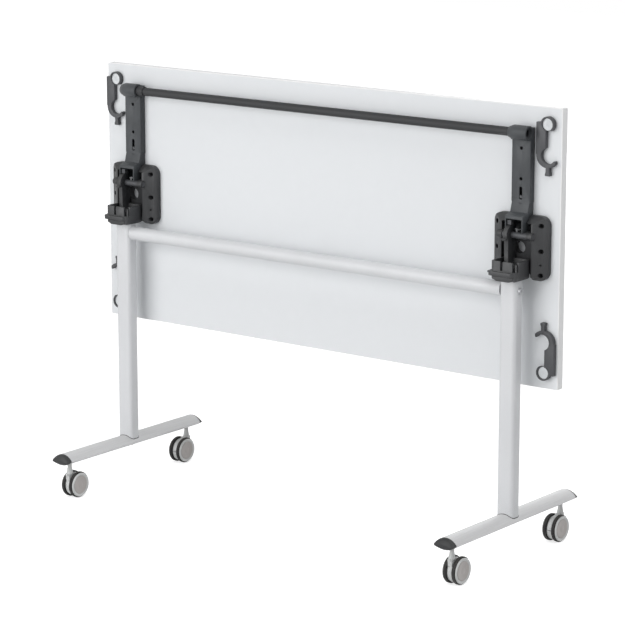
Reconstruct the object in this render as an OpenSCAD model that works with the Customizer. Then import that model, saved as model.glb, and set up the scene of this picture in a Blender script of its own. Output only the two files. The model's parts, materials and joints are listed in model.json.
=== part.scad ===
// Flip top training table, folded for nesting: the top hangs upright behind its columns.
// X runs along the table, Y away from a person who faces the underside, Z up.
// The origin lies on the floor, midway between the two columns.

/* [Table top] */
// Length of the table top
top_w = 1200; // [1120:10:1500]
// Depth of the table top
top_d = 574; // [540:2:640]
// Thickness of the board
top_t = 18; // [16:1:28]
// Thickness of the edge band
band_t = 2; // [1:0.5:3]
// Corner radius of the top
top_corner_r = 3; // [2.5:0.5:12]
// Distance from the pivot axis to the underside
under_gap = 32; // [31:0.5:36]
// How far the middle of the top hangs below the pivot axis
top_drop = 27.5; // [16:0.5:40]

/* [Columns] */
// Distance from the end of the top to a column's centre
column_inset = 86; // [85:1:110]
// Column section, along the table
column_w = 40; // [36:1:44]
// Column section, across the table
column_d = 30; // [26:1:32]
// Corner radius of the column section
column_r = 9; // [6:0.5:11]
// Wall of the column tube
column_wall = 2; // [1.5:0.25:3]
// Length of the column tube
column_len = 526; // [510:0.5:600]

/* [Crossbar] */
// Outer diameter of the crossbar
crossbar_dia = 30; // [26:1:34]
// Wall of the crossbar tube
crossbar_wall = 2; // [1.5:0.25:3]
// How far the crossbar axis lies below the column heads
crossbar_drop = 21; // [19:0.5:40]
// Length of the plugs in the crossbar ends
plug_len = 28; // [20:1:40]
// Radius of the crossbar bolts
cross_bolt_r = 4; // [3:0.5:5]
// Head radius of the crossbar bolts
cross_head_r = 6.5; // [5.5:0.5:8]
// Head height of the crossbar bolts
cross_head_h = 4; // [3:0.5:6]

/* [Feet] */
// Length of a foot over its caps
foot_len = 464; // [452:2:600]
// Width of a foot
foot_w = 50; // [46:1:60]
// Height of the lens-shaped foot section
foot_h = 25; // [23:0.5:28]
// Depth of the section's rounded belly
foot_belly = 10.5; // [9.5:0.5:11.5]
// Height of the upright side wall of the section
foot_side = 1.5; // [1:0.25:2]
// Wall of the foot section
foot_wall = 2.5; // [2:0.25:3]
// Length of the rounded end caps
nose_len = 12; // [8:1:16]
// How deep the cap tongues reach into the foot
tongue_len = 12; // [8:1:12]
// Height of the plug in the column's lower end
base_plug_h = 38; // [30:1:60]
// Distance from column centre to a base bolt, along the foot
base_bolt_y = 7; // [6:0.5:8]
// Radius of the base bolts
base_bolt_r = 3; // [2.5:0.25:3.5]

/* [Casters] */
// Distance from the tongue of a cap to a swivel axis
caster_gap = 8; // [7:1:28]
// Wheel diameter over the tyre
wheel_d = 58; // [50:1:66]
// Width of one wheel
wheel_w = 12; // [10:0.5:16]
// Width of the fork body between the wheels
fork_w = 10; // [9:0.5:12]
// How far the axle trails the swivel axis
trail = 17; // [14:0.5:20]
// Height of the neck from the top of the tyre to the foot
neck_h = 21.5; // [20:0.5:26]
// Height of the cone at the foot of the neck
cone_h = 13; // [10:0.5:16]
// Radial thickness of the tyre
tyre_t = 4; // [3:0.5:6]
// Axle radius
axle_r = 3; // [2.5:0.25:3.5]
// Stem radius
stem_r = 3.5; // [3:0.25:3.75]
// Radius of the neck where it leaves the fork
neck_low_r = 7.5; // [7:0.5:9]
// Radius of the neck under the foot
neck_top_r = 4.8; // [4.6:0.2:5.6]
// Thickness of the wheel's outer disc
disc_t = 2; // [1.5:0.5:3]
// Travel of the brake pedal, in degrees
pedal_travel = 12; // [6:1:15]

/* [Column heads] */
// Width of the cast head
head_w = 62; // [56:1:63]
// Depth of the cast head
head_d = 56; // [52:1:58]
// Height of the cast head
head_h = 41; // [36:1:46]
// How far the head is set forward of the column centre
head_fwd = 4; // [4:0.5:6]
// Depth of the socket that holds the column
socket_depth = 24; // [18:1:28]
// Depth of the open hollow in the top of the head
hollow_depth = 11; // [8:0.5:13]
// Height of the pivot axis above the head
pivot_rise = 48; // [46:1:56]
// How far the pivot axis lies behind the column centre
pivot_y = 12; // [11:0.5:13]
// Radius of the pivot pin
pin_r = 5; // [4:0.25:6]
// Thickness of the knuckle that carries the pin
knuckle_t = 10; // [8:0.5:10]
// Sideways place of the knuckle's middle
knuckle_x = -13; // [-13:0.5:-12]
// Outer radius of the knuckle's shoulders
shoulder_r = 25; // [23:0.5:26]
// Radius of the arc that the latch nose follows
groove_r = 20; // [16:0.5:21]

/* [Tilt brackets] */
// Width of the bracket
bracket_w = 130; // [120:1:140]
// How far the bracket reaches above the pivot axis
bracket_up = 40; // [38:1:46]
// How far the bracket reaches below the pivot axis
bracket_down = 92; // [88:1:100]
// Corner radius of the bracket
bracket_r = 20; // [12:1:26]
// Height of the bracket's rim above the table top
rim_h = 30; // [27:0.5:31]
// Height of the bracket's outer edge above the table top
edge_h = 12; // [8:0.5:16]
// Width of the pocket
pocket_w = 70; // [67:1:76]
// Height of the pocket floor above the table top
floor_h = 16; // [12:0.5:16]
// How far the upper edge of the pocket floor lies below the pivot axis
floor_drop = 12; // [12:0.5:13]
// Radius of the round window in the pocket floor
window_r = 12.7; // [8:0.1:13]
// How far the window lies below the pivot axis
window_drop = 27; // [27:0.5:36]
// Radius of the bosses that hold the pin
boss_r = 8; // [7:0.5:9]
// Outer radius of the sleeves on the pin
sleeve_r = 6.5; // [6.25:0.25:6.75]
// Sideways place of the bracket screws
screw_x = 52.5; // [50:0.5:55]
// Heights of the bracket screws over the pivot axis
screw_z = [22, -30, -79];
// Height of the small peg hole over the pivot axis
peg_z = -58; // [-62:1:-50]

/* [Arms] */
// Width of the arm
arm_w = 44; // [43.5:0.5:46]
// Height of the arm above the table top
arm_h = 16; // [15:0.5:17]
// Wall of the arm
arm_wall = 3; // [2.5:0.25:3]
// Width of the flared lower end
flare_w = 42; // [42:0.5:43]
// Wall of the flared lower end
flare_wall = 2.5; // [2:0.25:2.5]
// Height where the flare begins, over the pivot axis
arm_step = 65; // [63:1:70]
// How far the flare reaches forward of the arm's face
flare_out = 24; // [23:0.5:25]
// Height of the lip under the flare, over the pivot axis
lip_z = 33; // [27:0.5:34]
// Height of the arm's lower end, over the pivot axis
arm_foot_z = 7.2; // [7:0.2:8]
// Height of the release bar, over the pivot axis
bar_z = 206; // [190:1:224]
// Heights of the two arm screws, over the pivot axis
arm_screw_z = [112, 174];
// Height of the slot's middle, over the pivot axis
slot_z = 83; // [82:0.5:86]
// Length of the slot
slot_len = 26; // [22:0.5:28]
// Width of the slot
slot_w = 7; // [6:0.1:7.4]
// Outer radius of the hub round the release bar
hub_r = 15; // [14.5:0.5:16]
// Length of the funnel on the hub
funnel_len = 10; // [5:0.5:12]
// How far the funnel reaches out of the arm's side
funnel_out = 2; // [1:0.5:3]

/* [Release bar] */
// Diameter of the release bar
bar_dia = 18; // [16:0.5:18.5]
// Wall of the release bar
bar_wall = 1.5; // [1:0.25:2.5]
// Height of the bar's axis above the table top
bar_off = 21.5; // [21:0.5:22]
// Radius of the crank that lifts the latches
crank_r = 14; // [13.5:0.5:14.5]
// Turn of the release bar, in degrees
bar_turn = 30; // [24:1:34]
// Radius of the latch rod
rod_r = 2.5; // [2:0.25:2.75]
// Wire diameter of the latch spring
wire_d = 1; // [0.8:0.1:1.1]
// Turns of the latch spring
spring_turns = 8; // [4:1:10]
// Length of the latch spring at rest
spring_len = 38; // [34:1:44]

/* [Linking hooks] */
// Distance from the table's end to a link pivot
link_end = 30; // [29:0.5:34]
// Distance from the table's long edge to a link pivot
link_edge = 34; // [30:0.5:40]
// Thickness of a link
link_t = 10; // [8:0.5:12]
// Outer radius of the link's ring
ring_r = 16; // [15:0.5:17]
// Radius of the open middle of the ring
ring_open_r = 12.5; // [12:0.25:13]
// Distance from the ring's axis to the hook's axis
link_pitch = 63; // [61:0.5:66]
// Gap of the hook round a neighbour's ring
hook_gap = 0.3; // [0.2:0.1:0.8]
// Thickness of the hook at its thinnest
hook_wall = 9; // [7:0.5:11]

/* [Fits] */
// Radial clearance of a pin or shaft that turns
run_c = 0.05; // [0.02:0.01:0.1]
// Gap between faces that slide past each other
slip_c = 0.4; // [0.3:0.05:0.5]
// Gap round a piece that is screwed or pushed in
seat_c = 0.05; // [0.02:0.01:0.1]

/* [Hidden] */
$fn = 48;

column_span = top_w - 2 * column_inset;
half_span = column_span / 2;
caster_y = foot_len / 2 - nose_len - tongue_len - caster_gap;
wheel_r = wheel_d / 2;
foot_z = wheel_d + neck_h;
foot_top = foot_z + foot_h;
column_z = foot_z + foot_belly - 1;
column_top = column_z + column_len;
head_z = column_top - socket_depth;
head_top = head_z + head_h;
crossbar_z = head_z - crossbar_drop;
pivot_z = head_top + pivot_rise;
under_y = pivot_y + under_gap;
top_z = pivot_z - top_drop;
rim_y = under_y - rim_h;
edge_y = under_y - edge_h;
floor_y = under_y - floor_h;
rest_gap = 0.35;
plate_z = pivot_z - bracket_down;
plate_h = bracket_down + bracket_up;
arm_y = under_y - arm_h;
step_z = pivot_z + arm_step;
flare_y = arm_y - flare_out;
bar_y = under_y - bar_off;
hub_z = pivot_z + bar_z;
lift = crank_r * bar_turn * PI / 180;
rod_x = knuckle_x;
rod_y = bar_y + crank_r * (1 + cos(bar_turn / 2)) / 2;
dark = [0.27, 0.27, 0.28];
charcoal = [0.33, 0.34, 0.35];
silver = [0.8, 0.81, 0.82];
steel = [0.62, 0.62, 0.63];
grey = [0.64, 0.62, 0.6];
pale = [0.88, 0.89, 0.9];

// Helpers that draw a profile in one plane and extrude it across
// A profile of Y and Z, extruded along X
module along_x(len) rotate([90, 0, 90]) linear_extrude(len, center = true) children();
// A profile of X and Z, extruded along Y
module along_y(len) rotate([90, 0, 0]) linear_extrude(len, center = true) children();
// A round bar along X
module bar_x(r, len) rotate([0, 90, 0]) cylinder(r = r, h = len, center = true);
// A round bar along Y
module bar_y(r, len) rotate([90, 0, 0]) cylinder(r = r, h = len, center = true);
// A rectangle with round corners, made of true arcs
module rounded(w, d, r) {
    square([w - 2 * r, d], center = true);
    square([w, d - 2 * r], center = true);
    for (x = [-1, 1], y = [-1, 1]) translate([x * (w / 2 - r), y * (d / 2 - r)]) circle(r);
}
// A wedge of a circle between two angles, less than half a turn apart
module wedge(r, a0, a1) {
    far = r / cos((a1 - a0) / 4) + 1;
    am = (a0 + a1) / 2;
    intersection() {
        circle(r);
        polygon([[0, 0], far * [cos(a0), sin(a0)], far * [cos(am), sin(am)] * 1.4,
            far * [cos(a1), sin(a1)]]);
    }
}
module at_left() translate([-half_span, 0, 0]) children();
module at_right() translate([half_span, 0, 0]) children();
module at_both() for (s = [-1, 1]) translate([s * half_span, 0, 0]) children();

// Feet: a lens-shaped aluminium section with two inner webs
arch_rise = foot_h - foot_side - foot_belly;
arch_r = (pow(foot_w / 2, 2) + pow(arch_rise, 2)) / (2 * arch_rise);
belly_r = (pow(foot_w / 2, 2) + pow(foot_belly, 2)) / (2 * foot_belly);
function belly_in(x) = belly_r - sqrt(pow(belly_r - foot_wall, 2) - x * x);
function arch_in(x) = foot_h - arch_r + sqrt(pow(arch_r - foot_wall, 2) - x * x);
web_x = 12;
web_t = 2;
nose_y = foot_len / 2 - nose_len;
module foot_section(inset) {
    intersection() {
        translate([-foot_w / 2 + inset, 0]) square([foot_w - 2 * inset, foot_h]);
        translate([0, foot_h - arch_r]) circle(arch_r - inset, $fn = 96);
        translate([0, belly_r]) circle(belly_r - inset, $fn = 96);
    }
}
module foot() {
    stem_hole_r = stem_r + seat_c;
    color(silver) difference() {
        translate([0, 0, foot_z]) along_y(2 * nose_y) foot_section(0);
        difference() {
            translate([0, 0, foot_z]) along_y(foot_len) foot_section(foot_wall);
            for (s = [-1, 1]) translate([s * web_x, 0, foot_z + foot_h / 2])
                cube([web_t, foot_len, foot_h], center = true);
        }
        translate([0, 0, column_z]) linear_extrude(foot_h)
            rounded(column_w + 2 * seat_c, column_d + 2 * seat_c, column_r + seat_c);
        for (s = [-1, 1]) {
            translate([0, s * caster_y, foot_z - 1]) cylinder(r = stem_hole_r, h = foot_wall + 3);
            translate([0, s * base_bolt_y, foot_z - 1]) cylinder(r = base_bolt_r + seat_c, h = foot_wall + 3);
        }
    }
}
// End cap: the section drawn in to a blunt nose, with a tongue in the foot
module end_cap() {
    slice = 0.6;
    mid = foot_belly * 0.7;
    color(dark) {
        hull() for (k = [0, 0.3, 0.55, 0.75, 0.9, 1]) {
            narrow = 1 - 0.16 * pow(k, 4);
            flat = max(0.3, pow(1 - pow(k, 2), 1 / 2));
            translate([0, -nose_y - slice / 2 - (nose_len - slice) * k, foot_z + mid])
                scale([narrow, 1, flat]) translate([0, 0, -mid]) along_y(slice) foot_section(0, $fn = 32);
        }
        cap_tongue();
    }
}
module cap_tongue() {
    w = 2 * web_x - web_t - 2 * slip_c;
    low = belly_in(w / 2) + slip_c;
    translate([-w / 2, -nose_y, foot_z + low]) cube([w, tongue_len, arch_in(w / 2) - slip_c - low]);
}

// Columns: rounded tubes that stand on the foot's lower wall
module column(inner_side) {
    color(silver) difference() {
        translate([0, 0, column_z]) linear_extrude(column_len) difference() {
            rounded(column_w, column_d, column_r);
            rounded(column_w - 2 * column_wall, column_d - 2 * column_wall, column_r - column_wall);
        }
        translate([0, 0, crossbar_z]) bar_x(cross_bolt_r + seat_c, column_w + 2);
        translate([0, 0, column_top - socket_depth / 2]) bar_y(head_screw_r + seat_c, column_d + 2);
    }
}
module column_base_plug() {
    color(steel) difference() {
        translate([0, 0, column_z]) linear_extrude(base_plug_h)
            rounded(column_w - 2 * column_wall - 2 * seat_c, column_d - 2 * column_wall - 2 * seat_c,
                column_r - column_wall - seat_c);
        for (s = [-1, 1]) translate([0, s * base_bolt_y, column_z - 1])
            cylinder(r = base_bolt_r + seat_c, h = base_plug_h - 6);
    }
}
module base_bolt() {
    head_r = base_bolt_r * 1.7;
    head_h = base_bolt_r * 0.6;
    color(steel) translate([0, 0, foot_z - head_h]) difference() {
        union() {
            cylinder(r = head_r, h = head_h);
            cylinder(r = base_bolt_r, h = head_h + foot_belly + base_plug_h / 2);
        }
        translate([0, 0, -1]) cylinder(r = base_bolt_r * 0.9, h = head_h * 0.7 + 1, $fn = 6);
    }
}

// Crossbar: a round tube between the columns, pulled up by a bolt from each outer side
bar_end = half_span - column_w / 2;
module crossbar() {
    color(silver) translate([0, 0, crossbar_z]) difference() {
        bar_x(crossbar_dia / 2, 2 * bar_end);
        bar_x(crossbar_dia / 2 - crossbar_wall, 2 * bar_end + 2);
    }
}
module crossbar_plug(s) {
    color(steel) translate([s * (bar_end - plug_len / 2), 0, crossbar_z]) difference() {
        bar_x(crossbar_dia / 2 - crossbar_wall - seat_c, plug_len);
        bar_x(cross_bolt_r + seat_c, plug_len + 2);
    }
}
module crossbar_bolt(s) {
    shank = column_w + plug_len - 4;
    face = half_span + column_w / 2;
    color(steel) translate([0, 0, crossbar_z]) {
        translate([s * (face - shank / 2), 0, 0]) bar_x(cross_bolt_r, shank);
        translate([s * (face + cross_head_h / 2), 0, 0]) difference() {
            union() {
                bar_x(cross_head_r, cross_head_h - 1);
                bar_x(cross_head_r - 1, cross_head_h);
            }
            translate([s * cross_head_h / 2, 0, 0]) rotate([0, 90, 0])
                cylinder(r = cross_head_r / 2, h = cross_head_h, center = true, $fn = 6);
        }
    }
}

// Column heads: a cast cup on the column, with a knuckle that carries the pivot pin
head_r = 9;
head_foot_r = 11;
head_screw_r = 2.5;
stop_gap = 2;
ledge_h = 9;
ledge_r = 10;
nose_half = 4;
nose_angle = asin(nose_half / groove_r) + stop_gap;
module round_foot(w, z0, h, r) {
    translate([-w / 2, z0 + r]) square([w, h - r]);
    translate([-w / 2 + r, z0]) square([w - 2 * r, h]);
    for (s = [-1, 1]) translate([s * (w / 2 - r), z0 + r]) circle(r);
}
module knuckle_outline() {
    neck = hollow_depth + pivot_rise + 1;
    core_r = under_gap - floor_h - 1;
    difference() {
        union() {
            circle(core_r, $fn = 96);
            wedge(groove_r, 66, 130);
            wedge(groove_r, 125, 204);
            wedge(shoulder_r, 66, 90 - nose_angle);
            wedge(shoulder_r, 180 + nose_angle, 204);
            polygon([[-13, -neck], [13, -neck], [core_r - 0.5, -3], [-core_r, -3]]);
        }
        circle(pin_r + run_c);
    }
}
module column_head() {
    slot_depth = 6;
    notch_w = 9;
    notch_d = 10;
    notch_h = head_h - head_foot_r - ledge_h - 1;
    tab_len = 12;
    head_back = head_d / 2 - head_fwd;
    color(dark) difference() {
        union() {
            difference() {
                intersection() {
                    translate([0, -head_fwd, head_z]) linear_extrude(head_h) rounded(head_w, head_d, head_r);
                    along_y(2 * head_d) round_foot(head_w, head_z, head_h, head_foot_r);
                    translate([0, -head_fwd, 0]) along_x(2 * head_w) round_foot(head_d, head_z, head_h, head_foot_r);
                }
                translate([0, -head_fwd, head_top - hollow_depth]) linear_extrude(hollow_depth + 1)
                    rounded(head_w - 10, head_d - 10, head_r - 4);
                // Groove between the cup and its lower band
                translate([0, -head_fwd - head_d / 2, head_z + head_foot_r]) cube([head_w + 2, 3, 1.4], center = true);
            }
            translate([knuckle_x, pivot_y, pivot_z]) along_x(knuckle_t) knuckle_outline();
            // Finger tab on the inner side
            translate([0, -head_fwd - 16, head_z + 16]) along_y(8)
                polygon([[-head_w / 2 + 2, -7], [-head_w / 2 - tab_len, -1.5], [-head_w / 2 - tab_len, 1.5],
                    [-head_w / 2 + 2, 6]]);
            // Lip round the foot of the front face
            intersection() {
                translate([0, -head_fwd - head_d / 2 + 2, 0]) along_y(7) round_foot(head_w - 14, head_z + 0.5, head_h, head_foot_r);
                translate([0, -head_fwd - head_d / 2, head_z]) cube([head_w + 2, 8, 2 * head_foot_r - 2], center = true);
            }
            // Pad that rests against the pocket floor while the top hangs
            translate([0, (head_back - 4 + floor_y - rest_gap) / 2, head_top - 13])
                cube([24, floor_y - rest_gap - head_back + 4, 14], center = true);
            // Rounded ledge round the front, over the lip
            translate([-5, -head_fwd - head_d / 2 + 9, head_z + head_foot_r]) linear_extrude(ledge_h)
                rounded(head_w, 28, ledge_r);
        }
        translate([0, 0, head_z - 1]) linear_extrude(socket_depth + 1)
            rounded(column_w + 2 * seat_c, column_d + 2 * seat_c, column_r + seat_c);
        // Upright slots in the front and in the outer front corner
        translate([-4, -head_fwd - head_d / 2, head_top - 9]) cube([5.5, 2 * slot_depth, 20], center = true);
        difference() {
            translate([head_w / 2, -head_fwd - head_d / 2, head_top - notch_h / 2 + 1])
                cube([2 * notch_w, 2 * notch_d, notch_h + 2], center = true);
            translate([head_w / 2 - 3.5, -head_fwd - head_d / 2 + 6.5, head_top - notch_h / 2 - 4])
                cube([3, 4, notch_h], center = true);
        }
        // Screw that holds the head to the column, from the back
        translate([0, head_d / 2 - head_fwd, head_z + socket_depth / 2]) bar_y(head_screw_r + seat_c, head_d);
    }
}
module head_screw() {
    back = head_d / 2 - head_fwd;
    color(steel) translate([0, 0, head_z + socket_depth / 2]) {
        translate([0, back - 9, 0]) bar_y(head_screw_r, 18);
        translate([0, back + 1, 0]) bar_y(head_screw_r * 1.8, 2);
    }
}

// Table top: a board with an edge band all round
module top_outline(inset) rounded(top_w - 2 * inset, top_d - 2 * inset, top_corner_r - inset);
module screw_holes() {
    for (s = [-1, 1], x = [-1, 1], z = screw_z)
        translate([s * half_span + x * screw_x, under_y, pivot_z + z]) bar_y(wood_r + seat_c, 2 * wood_len);
    for (s = [-1, 1], z = arm_screw_z)
        translate([s * half_span, under_y, pivot_z + z]) bar_y(wood_r + seat_c, 2 * wood_len);
    for (p = link_places) translate([p[0], under_y, p[1]]) bar_y(wood_r + seat_c, 2 * wood_len);
}
wood_r = 2.2;
wood_len = 13;
wood_head_r = 4.4;
wood_head_h = 2.6;
module table_top() {
    color(pale) difference() {
        translate([0, under_y + top_t / 2, top_z]) along_y(top_t) top_outline(band_t);
        screw_holes();
    }
}
module edge_band() {
    color(pale) translate([0, under_y + top_t / 2, top_z]) along_y(top_t) difference() {
        top_outline(0);
        top_outline(band_t);
    }
}
// A pan head wood screw whose head stands on a face at height h above the board
module wood_screw(h, tint = dark) {
    color(tint) {
        translate([0, under_y - h - wood_head_h / 2, 0]) difference() {
            bar_y(wood_head_r, wood_head_h);
            translate([0, -wood_head_h / 2, 0]) {
                cube([wood_head_r * 1.2, 2, 1], center = true);
                cube([1, 2, wood_head_r * 1.2], center = true);
            }
        }
        translate([0, under_y - h + (h + wood_len - 1) / 2, 0]) bar_y(wood_r, h + wood_len - 1);
    }
}

// Tilt brackets: a dished casting with a pocket for the knuckle and bosses for the pin
screw_seat = 5;
rim_half = pocket_w / 2 + 2;
boss_out = pocket_w / 2 + 7;
boss_in = pocket_w / 2 - 6;
arm_notch = arm_w / 2 + 1;
module dish_section() {
    w = bracket_w / 2;
    polygon([[-w, under_y], [-w, edge_y + 1.5], [-w + 2, edge_y - 0.5], [-rim_half - 3, rim_y + 1.5],
        [-rim_half, rim_y], [rim_half, rim_y], [rim_half + 3, rim_y + 1.5], [w - 2, edge_y - 0.5],
        [w, edge_y + 1.5], [w, under_y]]);
}
module dish_side() {
    t = plate_z + plate_h;
    polygon([[under_y, plate_z], [edge_y + 1.5, plate_z], [edge_y - 1, plate_z + 1], [rim_y, plate_z + 9],
        [rim_y, t - 15], [edge_y - 1, t - 1.5], [edge_y + 1, t], [under_y, t]]);
}
module tilt_bracket() {
    pocket_top = pivot_z + bracket_up - 14;
    color(dark) difference() {
        union() {
            intersection() {
                translate([0, 0, plate_z]) linear_extrude(plate_h) dish_section();
                translate([0, under_y, plate_z + plate_h / 2]) along_y(2 * rim_h) rounded(bracket_w, plate_h, bracket_r);
                along_x(bracket_w + 2) dish_side();
            }
            for (s = [-1, 1]) translate([s * (boss_out + boss_in) / 2, pivot_y, pivot_z]) {
                bar_x(boss_r, boss_out - boss_in);
                translate([0, boss_r, 0]) cube([boss_out - boss_in, 2 * boss_r, 2 * boss_r], center = true);
            }
        }
        // Pocket with a raised floor in its lower part, open in front and at its foot
        difference() {
            translate([-pocket_w / 2, rim_y - 10, plate_z - 1])
                cube([pocket_w, under_y - rim_y + 12, pocket_top - plate_z + 1]);
            for (s = [-1, 1]) translate([s * (boss_out + boss_in) / 2, pivot_y, pivot_z]) {
                bar_x(boss_r, boss_out - boss_in);
                translate([0, floor_y / 2, 0]) cube([boss_out - boss_in, floor_y, 2 * boss_r], center = true);
            }
            translate([-pocket_w / 2 - 1, floor_y, plate_z - 2]) cube([pocket_w + 2, under_y, bracket_down + arm_foot_z + 1]);
        }
        // Opening in the floor that the knuckle's arc passes
        translate([knuckle_x - 14.5, floor_y - 1, pivot_z - floor_drop]) cube([21, floor_h + 2, floor_drop + arm_foot_z + 2]);
        // Arched cut-out at the foot of the floor
        translate([0, under_y, plate_z - 6]) bar_y(pocket_w / 2 - 4, 4 * floor_h);
        // Notch that the arm comes through
        translate([-arm_notch, rim_y - 1, pocket_top - 1]) cube([2 * arm_notch, under_y - rim_y + 2, 20]);
        translate([0, under_y, pivot_z - window_drop]) bar_y(window_r, 4 * floor_h);
        // Pivot bore through both bosses
        translate([0, pivot_y, pivot_z]) bar_x(pin_r + seat_c, bracket_w);
        // Counterbored screw holes, and a small peg hole
        for (x = [-1, 1]) {
            for (z = screw_z) translate([x * screw_x, under_y, pivot_z + z]) {
                bar_y(wood_r + seat_c, 4 * rim_h);
                translate([0, -screw_seat - rim_h, 0]) bar_y(wood_head_r + 0.4, 2 * rim_h);
            }
            translate([x * screw_x, edge_y - 8, pivot_z + peg_z]) bar_y(2.4, 7);
        }
        // Hollows behind the flanks, open to the board
        for (x = [-1, 1]) flank_hollow(x);
    }
}
// Space between the ribs behind one flank
module flank_hollow(x) {
    wall = 3.5;
    inner = pocket_w / 2 + wall;
    outer = bracket_w / 2 - wall;
    for (z = [[-72, -37], [-23, -6]])
        translate([0, 0, pivot_z + z[0]]) linear_extrude(z[1] - z[0])
            polygon([[x * inner, under_y + 1], [x * inner, rim_y + wall + 5], [x * outer, edge_y + wall],
                [x * outer, under_y + 1]]);
}
module pivot_pin() {
    color(steel) translate([0, pivot_y, pivot_z]) bar_x(pin_r, 2 * boss_out);
}
// Sleeves that keep the knuckle in its place along the pin
module pivot_sleeve() {
    ends = [[-boss_in + slip_c / 2, knuckle_x - knuckle_t / 2 - slip_c],
        [knuckle_x + knuckle_t / 2 + slip_c, boss_in - slip_c / 2]];
    color(steel) for (e = ends) translate([(e[0] + e[1]) / 2, pivot_y, pivot_z]) difference() {
        bar_x(sleeve_r, e[1] - e[0]);
        bar_x(pin_r + seat_c, e[1] - e[0] + 2);
    }
}

// Arms: a channel over the latch rod, flared at its foot, with a hub for the release bar
web_z = 6;
seat_rib_z = 160;
back_wall = 1.5;
shelf_z = step_z - 20;
function flare_line(inset) = [
    [arm_y + inset, step_z],
    [arm_y - 5.5 + inset, shelf_z - 0.8 * inset],
    [flare_y + 1.5 + inset, shelf_z - 5 - inset],
    [flare_y + inset, shelf_z - 7 - inset]];
module arm() {
    lower_z = pivot_z + arm_foot_z;
    upper_len = hub_z - step_z;
    inner_w = arm_w - 2 * arm_wall;
    flare_in = flare_w - 2 * flare_wall;
    color(charcoal) difference() {
        union() {
            // Upper channel and its closed top
            translate([0, (arm_y + under_y) / 2, step_z + upper_len / 2 + 5]) difference() {
                cube([arm_w, arm_h, upper_len + 10], center = true);
                translate([0, (arm_wall - back_wall) / 2, -arm_wall])
                    cube([inner_w, arm_h - arm_wall - back_wall, upper_len + 12], center = true);
            }
            // Webs that the screws hold to the board
            for (z = arm_screw_z) translate([0, under_y - 1.5, pivot_z + z]) cube([arm_w - 2, 3, 2 * web_z], center = true);
            // Rib that the spring pushes against
            translate([0, (arm_y + under_y) / 2, pivot_z + seat_rib_z + 1.5]) cube([inner_w + 1, arm_h, 3], center = true);
            // Flared lower end with two cheeks
            difference() {
                along_x(flare_w) polygon(concat(flare_line(0), [[flare_y, lower_z], [under_y, lower_z],
                    [under_y, step_z + 1], [arm_y, step_z + 1]]));
                along_x(flare_in) polygon(concat([[under_y - back_wall, step_z + 2], [arm_y + flare_wall, step_z + 2]],
                    flare_line(flare_wall), [[flare_y + flare_wall, pivot_z + lip_z], [flare_y - 1, pivot_z + lip_z],
                    [flare_y - 1, lower_z - 1], [under_y - back_wall, lower_z - 1]]));
            }
            // Hub with its funnel
            translate([0, bar_y, hub_z]) {
                translate([(funnel_len - funnel_out) / 2, 0, 0]) bar_x(hub_r, arm_w - funnel_len + funnel_out);
                translate([-arm_w / 2 + funnel_len - funnel_out, 0, 0]) rotate([0, -90, 0])
                    cylinder(r1 = hub_r, r2 = bar_dia / 2 + 2, h = funnel_len);
                translate([0, bar_off / 2 - 1, -hub_r / 2]) cube([arm_w, bar_off - 2, hub_r], center = true);
            }
        }
        // Bore for the bar, wider at its open end
        translate([0, bar_y, hub_z]) bar_x(bar_dia / 2 + run_c, arm_w + 4 * funnel_len);
        translate([arm_w / 2, bar_y, hub_z]) bar_x(bar_dia / 2 + 1.8, 12);
        // Space for the crank and the head of the rod
        translate([rod_x - 5, arm_y + arm_wall, hub_z - 26]) cube([12, under_y - arm_y + 2, 26 + hub_r - 2]);
        translate([rod_x - 5, bar_y + 4, hub_z - crank_gap]) cube([12, arm_h, 2 * crank_gap]);
        translate([-inner_w / 2, arm_y + arm_wall, hub_z - 40]) cube([inner_w, arm_h, 40 - hub_r]);
        // Holes over the screws, the guide slot and the notch under it
        for (z = arm_screw_z) translate([0, arm_y, pivot_z + z]) bar_y(3.4, 3 * arm_wall);
        for (z = arm_screw_z) translate([0, under_y, pivot_z + z]) bar_y(wood_r + seat_c, 12);
        translate([0, arm_y, pivot_z + slot_z]) {
            cube([slot_w, 3 * arm_wall, slot_len - slot_w], center = true);
            for (s = [-1, 1]) translate([0, 0, s * (slot_len - slot_w) / 2]) bar_y(slot_w / 2, 3 * arm_wall);
        }
        translate([0, arm_y - 2, step_z - 2.5]) cube([7, 5, 1.6], center = true);
        // Way through the spring rib
        translate([rod_x, rod_y, pivot_z + seat_rib_z - 1]) cylinder(r = rod_r + 0.4, h = 5);
    }
}

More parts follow.
